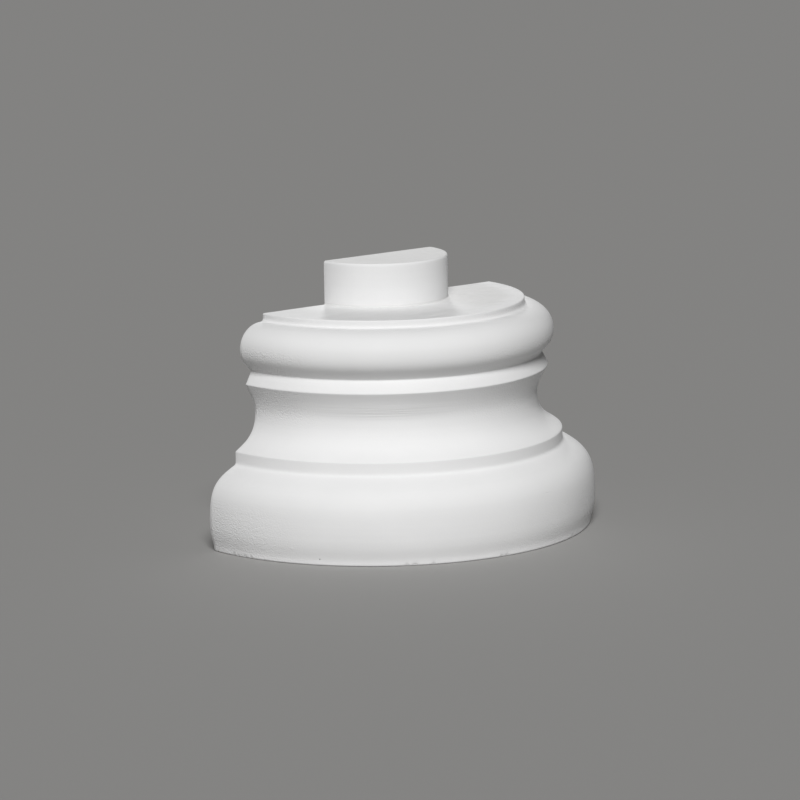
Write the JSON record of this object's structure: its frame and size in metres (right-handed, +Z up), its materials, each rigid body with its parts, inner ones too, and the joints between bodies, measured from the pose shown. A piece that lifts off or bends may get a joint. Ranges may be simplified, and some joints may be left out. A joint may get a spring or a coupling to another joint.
{
  "type": "half-round column base",
  "caption": "Half-round Attic column base with a flat back and a round spigot on top for a hollow half shaft.",
  "frame": {"origin": "middle of the underside's bounding rectangle, on the plane that the base stands on; the column's axis is 90 mm behind it, in the plane of the flat back", "axes": "+X along the flat back, to the right seen from the front; +Y from the round front to the flat back; +Z up along the column's axis"},
  "size_m": [0.36, 0.18, 0.227],
  "materials": {
    "white_primer": "matt white primer on a rigid foam casting, with faint turning lines and a fine orange-peel stipple"
  },
  "bodies": {
    "root": {"half_column_base": "white_primer"}
  },
  "joints": []
}
